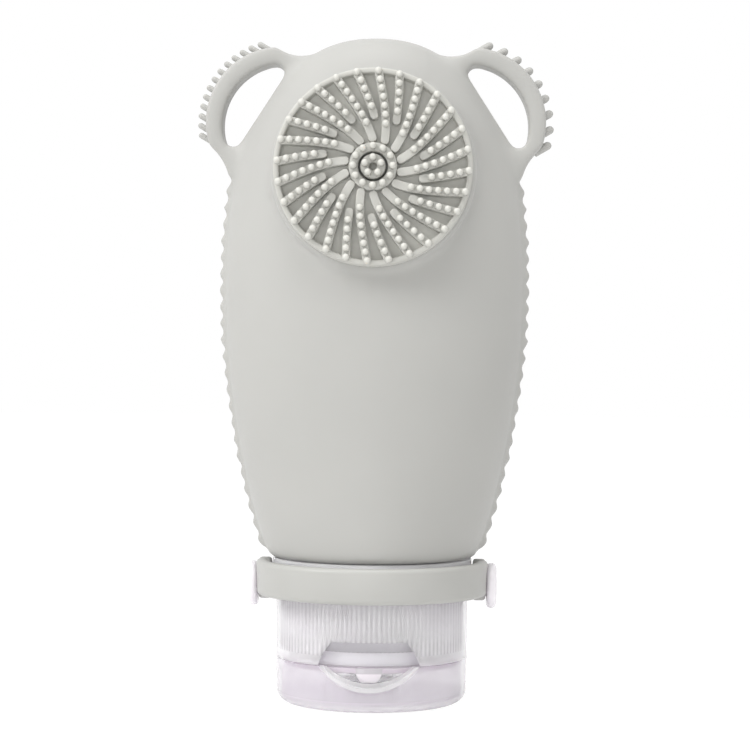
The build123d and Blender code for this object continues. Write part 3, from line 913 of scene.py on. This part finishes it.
def makeButton():
    high = pad["plate"] + pad["ribHigh"]
    knob = spun("padButton", [
        (0, -button["stemLong"]), (button["stemR"], -button["stemLong"]),
        (button["stemR"], button["lift"]), (button["r"], button["lift"]), (button["r"], high),
        (button["holeR"], high), (button["holeR"], button["holeLow"]), (0, button["holeLow"]),
    ], closed=False, steps=64)
    rounded(knob, button["edge"])
    apart = 360 / button["pegs"]
    spots = [polar(button["pegRing"], 90 + index * apart) for index in range(button["pegs"])]
    whole = joinAll([knob, pegField("buttonPegs", spots)], "padButton")
    smoothAngle(whole, 40)
    ontoPadPlane(whole)
    dress(whole, padSilicone, "bottle", "button_silicone", "brush_button")


makeButton()
print("scene: button done")


# collar

collar = {
    # the top stands a little below the body, and the plate under it is measured from "plateTop"
    "low": 22.4, "plateTop": 30.0, "top": 29.98, "r": 20.8, "wall": 1.4, "topThick": 1.8,
    "sleeveR": 14.25, "sleeveWall": 1.9, "sleeveEnd": 13.45, "edge": 0.25,
}


def makeCollar():
    inner = collar["r"] - collar["wall"]
    bore = collar["sleeveR"] - collar["sleeveWall"]
    under = collar["plateTop"] - collar["topThick"]
    whole = spun("neckCollar", [
        (inner, collar["low"]), (collar["r"], collar["low"]), (collar["r"], collar["top"]),
        (bore, collar["top"]), (bore, collar["sleeveEnd"]),
        (collar["sleeveR"], collar["sleeveEnd"]), (collar["sleeveR"], under), (inner, under),
    ])
    rounded(whole, collar["edge"])
    smoothAngle(whole)
    dress(whole, collarPlastic, "bottle", "collar_plastic", "neck_collar")


makeCollar()
print("scene: collar done")


# strap and its two pins

strap = {
    "pinZ": 24.2, "r": 24.3, "thick": 2.5, "low": 22.3, "high": 29.5, "edge": 0.95,
    "eyeR": 4.35, "eyeX": 21.1, "eyeThick": 2.6, "eyeZ": 25.4, "boreR": 1.68,
    "discX": 23.9, "discR": 4.7, "discThick": 2.1, "shaftR": 1.6, "shaftX": 18.1,
    "eyeEdge": 0.6, "discGap": 0.4, "pinEdge": 0.95, "past": 6, "before": 3,
}


def makeStrap():
    deselectAll()
    bpy.ops.mesh.primitive_plane_add(size=1, rotation=(0, pi / 2, 0))
    band = newest("carryStrap")
    editMode(band)
    bpy.ops.mesh.select_all(action="SELECT")
    # stands across the band, at its left end
    bpy.ops.transform.rotate(value=pi / 2, orient_axis="Z", center_override=(0, 0, 0))
    bpy.ops.transform.resize(
        value=(strap["thick"] * mm, 1, (strap["high"] - strap["low"]) * mm),
        center_override=(0, 0, 0)
    )
    bpy.ops.transform.translate(value=(
        -(strap["r"] - strap["thick"] / 2) * mm, 0, (strap["low"] + strap["high"]) / 2 * mm
    ))
    bpy.ops.mesh.spin(steps=64, angle=pi, center=(0, 0, 0), axis=(0, 0, 1))
    bpy.ops.object.mode_set(mode="OBJECT")
    tidyNormals(band)
    if max(v.co.y for v in band.data.vertices) > 5 * mm:
        band.rotation_euler = (0, 0, pi)
        applyAll(band)
    rounded(band, strap["edge"], 4, 60)
    for side in (-1, 1):
        eye = cylinder(
            "strapEye", strap["eyeR"], strap["eyeThick"],
            (side * (strap["eyeX"] + strap["eyeThick"] / 2), 0, strap["eyeZ"]), 48, alongX
        )
        rounded(eye, strap["eyeEdge"])
        cutWith(band, eye, "UNION")
        far = strap["eyeX"] + strap["past"]
        for radius, near in (
            (strap["boreR"], strap["eyeX"] - strap["before"]),
            (strap["discR"] + strap["discGap"], strap["eyeX"] + strap["eyeThick"]),
        ):
            place = (side * (near + far) / 2, 0, strap["pinZ"])
            cutWith(band, cylinder("strapHole", radius, far - near, place, 48, alongX))
    smoothAngle(band, 40)
    dress(band, strapSilicone, "strap", "strap_silicone", "carry_strap")


def makePin(side, name, nodeName):
    # turned round Z first, then laid along X
    far = strap["discX"] + strap["discThick"]
    pin = spun(name, [
        (0, strap["shaftX"]), (strap["shaftR"], strap["shaftX"]), (strap["shaftR"], strap["discX"]),
        (strap["discR"], strap["discX"]), (strap["discR"], far), (0, far),
    ], closed=False, steps=64)
    rounded(pin, strap["pinEdge"], 5, 60)
    pin.rotation_euler = (0, side * pi / 2, 0)
    pin.location = (0, 0, strap["pinZ"] * mm)
    applyAll(pin)
    smoothAngle(pin, 50)
    dress(pin, pinPlastic, "bottle", "pin_plastic", nodeName)


makeStrap()
makePin(-1, "leftStrapPin", "strap_pin_left")
makePin(1, "rightStrapPin", "strap_pin_right")
print("scene: strap done")


# screw part of the cap

cap = {
    "r": 20.0, "low": 9.45, "top": 22.15, "wall": 1.2, "deck": 11.25,
    "inR": 16.05, "inWall": 1.2, "inTop": 21.55, "bossIn": 8.05, "bossOut": 9.25, "bossTop": 14.35,
    "orificeR": 3.4, "nozzleR": 4.4, "nozzleEnd": 7.85,
    "spigotR": 18.35, "spigotIn": 17.25, "spigotEnd": 8.0, "edge": 0.18,
    "ribs": 120, "ribHigh": 0.3, "ribWide": 0.5, "ribR": 18.75, "ribLow": 11.4,
    "overRecess": 36, "ribOverRecess": 15.3,
    "recessR": 17.6, "recessWall": 1.0, "recessMid": 12.1, "recessTop": 14.4,
    # the block behind the recess: past its top, past its sides, and inside the outer surface
    "blockOver": 0.8, "blockSide": 0.9, "blockIn": 0.6, "blockBack": 0.4, "lift": 0.02,
    "cutBelow": 0.4, "cutBeyond": 1.0,
    "prism": (10, 15), "nubOut": 0.25, "nubIn": 0.1, "nubTall": 30,
    "recessHalf": [(8.6, 10.7), (9.45, 10.35), (12.1, 9.2), (14.4, 7.56), (15.7, 6.6)],
    "nub": [(2.75, 9.15), (2.6, 7.9), (2.2, 7.0), (1.6, 6.3), (1.2, 6.2)],
}


def frontPrism(name, outline):
    # an outline in the front view, drawn out over the front half of the cap
    prism = profileRun(name, outline, True)
    editMode(prism)
    bpy.ops.mesh.select_all(action="SELECT")
    bpy.ops.mesh.edge_face_add()
    start, length = cap["prism"]
    bpy.ops.transform.translate(value=(0, -start * mm, 0))
    bpy.ops.mesh.extrude_region_move(TRANSFORM_OT_translate={"value": (0, -length * mm, 0)})
    tidyNormals(prism)
    return prism


def recessForm(name, profile, wider):
    # a ring with that profile, of which only the part behind the recess's outline stays
    ring = spun(name, profile, steps=160)
    sides = cap["recessHalf"]
    right = [(half + wider, z) for z, half in sides]
    left = [(-x, z) for x, z in reversed(right)]
    cutWith(ring, frontPrism(name, right + left), "INTERSECT")
    return ring


def makeCap():
    shell = spun("screwCap", [
        (cap["orificeR"], cap["nozzleEnd"]), (cap["nozzleR"], cap["nozzleEnd"]),
        (cap["nozzleR"], cap["low"]), (cap["spigotIn"], cap["low"]),
        (cap["spigotIn"], cap["spigotEnd"]), (cap["spigotR"], cap["spigotEnd"]),
        (cap["spigotR"], cap["low"]), (cap["r"], cap["low"]), (cap["r"], cap["top"]),
        (cap["r"] - cap["wall"], cap["top"]), (cap["r"] - cap["wall"], cap["deck"]),
        (cap["inR"], cap["deck"]), (cap["inR"], cap["inTop"]),
        (cap["inR"] - cap["inWall"], cap["inTop"]), (cap["inR"] - cap["inWall"], cap["deck"]),
        (cap["bossOut"], cap["deck"]), (cap["bossOut"], cap["bossTop"]),
        (cap["bossIn"], cap["bossTop"]), (cap["bossIn"], cap["deck"]),
        (cap["orificeR"], cap["deck"]),
    ], steps=160)
    inside = cap["recessR"] - cap["recessWall"]
    skin = cap["r"] - cap["blockIn"]
    foot = cap["low"] + cap["lift"]
    cutWith(shell, recessForm("recessWall", [
        (inside, foot), (skin, foot), (skin, cap["recessTop"] + cap["blockOver"]),
        (inside, cap["recessMid"] + cap["blockBack"]),
    ], cap["blockSide"]), "UNION")
    slope = (cap["recessTop"] - cap["recessMid"]) / (cap["r"] - cap["recessR"])
    foot = cap["low"] - cap["cutBelow"]
    beyond = cap["r"] + cap["cutBeyond"]
    cutWith(shell, recessForm("recessCut", [
        (cap["recessR"], foot), (beyond, foot),
        (beyond, cap["recessTop"] + slope * cap["cutBeyond"]), (cap["recessR"], cap["recessMid"]),
    ], 0.0))
    # latch nub below the rim that stands into the lid
    nub = frontPrism("latchNub", cap["nub"] + [(-x, z) for x, z in reversed(cap["nub"])])
    front = cylinder("nubFront", cap["spigotR"] + cap["nubOut"], cap["nubTall"])
    cutWith(nub, front, "INTERSECT")
    cutWith(nub, cylinder("nubBack", cap["spigotIn"] - cap["nubIn"], cap["nubTall"]))
    cutWith(shell, nub, "UNION")
    rounded(shell, cap["edge"], 2, 40)
    smoothAngle(shell, 35)
    dress(shell, capPlastic, "cap", "cap_plastic", "cap_base")
    # fine upright ribs round the inside of the outer skirt, shorter over the recess
    ribs = []
    for index in range(cap["ribs"]):
        turn = index * 360 / cap["ribs"]
        low = cap["ribOverRecess"] if min(turn, 360 - turn) < cap["overRecess"] else cap["ribLow"]
        half = cap["ribWide"] / 2
        rib = cylinder(
            "gripRib", half, cap["inTop"] - low, (0, -cap["ribR"], (cap["inTop"] + low) / 2), 8,
            scale=(1, cap["ribHigh"] / half, 1)
        )
        rib.rotation_euler = (0, 0, radians(turn))
        applyAll(rib)
        ribs.append(rib)
    ring = joinAll(ribs, "skirtRibs")
    smoothAll(ring)
    dress(ring, ribPlastic, "cap", "cap_plastic")


makeCap()
print("scene: screw cap done")


# lid

lid = {
    "r": 20.0, "footR": 19.65, "top": 9.3, "wall": 1.25, "floor": 1.4, "round": 2.5,
    # the scoop: two shallow steps and then the opening, each an arc in the front view
    "steps": [(17.03, 12.83, 0.45), (18.2, 13.0, 0.85)], "opening": (19.33, 13.23),
    "scoopLong": 12, "scoopY": -18, "stepTall": 40, "edge": 0.18,
    "ringIn": 4.55, "ringOut": 5.45, "ringTop": 8.7, "postR": 1.7, "postTop": 9.6,
}


def scoopTool(z, radius):
    return cylinder("scoopTool", radius, lid["scoopLong"], (0, lid["scoopY"], z), 160, alongY)


def makeLid():
    shell = spun("flipLid", [
        (0, 0), (lid["footR"], 0), (lid["r"], lid["top"]), (lid["r"] - lid["wall"], lid["top"]),
        (lid["r"] - lid["wall"], lid["floor"]), (lid["ringOut"], lid["floor"]),
        (lid["ringOut"], lid["ringTop"]), (lid["ringIn"], lid["ringTop"]),
        (lid["ringIn"], lid["floor"]), (lid["postR"], lid["floor"]), (lid["postR"], lid["postTop"]),
        (0, lid["postTop"]),
    ], closed=False, steps=160)

    def atFoot(edge):
        a, b = (shell.data.vertices[index].co for index in edge.vertices)
        rim = (lid["footR"] - 0.5) * mm
        return a.z < 0.1 * mm and b.z < 0.1 * mm and min(a.xy.length, b.xy.length) > rim

    selectWhere(shell, atFoot, "EDGE")
    bpy.ops.mesh.bevel(offset=lid["round"] * mm, segments=8, affect="EDGES")
    bpy.ops.object.mode_set(mode="OBJECT")
    for z, radius, depth in lid["steps"]:
        step = scoopTool(z, radius)
        cutWith(step, cylinder("stepFloor", lid["r"] - depth, lid["stepTall"], sides=160))
        cutWith(shell, step)
    cutWith(shell, scoopTool(*lid["opening"]))
    rounded(shell, lid["edge"], 2, 40)
    smoothAngle(shell, 35)
    dress(shell, lidPlastic, "lid", "lid_plastic", "flip_lid")


makeLid()
print("scene: lid done")


# thin web at the back that joins lid and cap

hingeWeb = {
    "wide": 12.0, "y": 20.1, "thick": 0.4, "low": 8.2, "high": 10.5, "rows": 14,
    # the share of the height round its middle that bows outwards, and how far
    "bows": [(0.30, 0.12), (0.2, 0.14), (0.1, 0.08)],
}


def makeWeb():
    high = (hingeWeb["high"] - hingeWeb["low"]) * mm
    middle = (hingeWeb["low"] + hingeWeb["high"]) / 2 * mm
    deselectAll()
    bpy.ops.mesh.primitive_cube_add(
        size=1, location=(0, hingeWeb["y"] * mm, middle),
        scale=(hingeWeb["wide"] * mm, hingeWeb["thick"] * mm, high)
    )
    web = newest("hingeWeb")

    def upright(edge):
        a, b = (web.data.vertices[index].co for index in edge.vertices)
        return abs(a.z - b.z) > high / 2

    selectWhere(web, upright, "EDGE")
    bpy.ops.mesh.subdivide(number_cuts=hingeWeb["rows"])
    bpy.ops.object.mode_set(mode="OBJECT")
    for share, bow in hingeWeb["bows"]:
        selectWhere(web, lambda v: abs(v.co.z - middle) < high * share)
        bpy.ops.transform.translate(value=(0, bow * mm, 0))
        bpy.ops.object.mode_set(mode="OBJECT")
    smoothAngle(web, 40)
    web.data.materials.append(lidPlastic)
    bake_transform(web)


makeWeb()
print("scene: hinge web done")


# carried-over CAD pieces get their finishes

nodeFinish = {
    "valve_retainer": capPlastic, "slit_valve": sealSilicone, "cap_gasket": sealSilicone,
}
for nodeName, material in nodeFinish.items():
    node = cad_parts[nodeName]
    node.data.materials.clear()
    node.data.materials.append(material)
    smoothAngle(node, 30)


# floor and light

studio = {
    "floorSize": 6, "floorZ": -0.0002, "floorColour": (0.93, 0.93, 0.93, 1), "floorRough": 0.9,
    "floorShine": 0.1, "floorShown": 1.07, "shownShare": 0.9, "skyLight": 0.62, "skyShown": 1.0,
}


def whiteFloor():
    deselectAll()
    bpy.ops.mesh.primitive_plane_add(size=studio["floorSize"], location=(0, 0, studio["floorZ"]))
    floor = newest("studioFloor")
    material = newMaterial("studioFloor")
    shader = shaderOf(material)
    feed(material, shader, {
        "Base Color": studio["floorColour"], "Roughness": studio["floorRough"],
        "Specular IOR Level": studio["floorShine"],
    })
    ray = addNode(material, "LightPath", {}).outputs["Is Camera Ray"]
    bright = addNode(
        material, "Emission", {"Color": (1, 1, 1, 1), "Strength": studio["floorShown"]}
    )
    both = addNode(material, "MixShader", {
        "Fac": calc(material, "MULTIPLY", ray, studio["shownShare"]),
        1: shader.outputs["BSDF"], 2: bright.outputs["Emission"],
    })
    output = material.node_tree.nodes["Material Output"]
    feed(material, output, {"Surface": both.outputs["Shader"]})
    floor.data.materials.append(material)


def whiteSky():
    # lights the object at one strength, and shows as plain white behind it
    world = bpy.context.scene.world or bpy.data.worlds.new("studioWorld")
    bpy.context.scene.world = world
    world.use_nodes = True
    light = world.node_tree.nodes["Background"]
    feed(world, light, {"Color": (1, 1, 1, 1), "Strength": studio["skyLight"]})
    shown = addNode(world, "Background", {"Color": (1, 1, 1, 1), "Strength": studio["skyShown"]})
    rays = addNode(world, "LightPath", {}).outputs
    seen = calc(world, "MAXIMUM", rays["Is Camera Ray"], rays["Is Transmission Ray"])
    both = addNode(world, "MixShader", {
        "Fac": calc(world, "MAXIMUM", seen, rays["Is Glossy Ray"]),
        1: light.outputs["Background"], 2: shown.outputs["Background"],
    })
    feed(world, world.node_tree.nodes["World Output"], {"Surface": both.outputs["Shader"]})


whiteFloor()
whiteSky()


def softLamp(name, place, target, size, power):
    deselectAll()
    bpy.ops.object.light_add(type="AREA", location=place)
    lamp = bpy.context.object
    lamp.name = name
    lamp.data.shape = "SQUARE"
    lamp.data.size = size
    lamp.data.energy = power
    lamp.rotation_euler = (Vector(target) - Vector(place)).to_track_quat("-Z", "Y").to_euler()


softLamp("keyLamp", (-0.75, -0.50, 0.80), (0, 0, 0.08), 0.45, 7.2)
softLamp("fillLamp", (0.85, -0.30, 0.25), (0, 0, 0.07), 0.6, 0.5)
softLamp("topLamp", (0.00, -0.25, 1.05), (0, 0, 0.10), 0.6, 5.6)
softLamp("frontLamp", (-0.15, -0.95, 0.10), (0, 0, 0.01), 0.5, 1.9)

bpy.context.scene.view_settings.view_transform = "Standard"
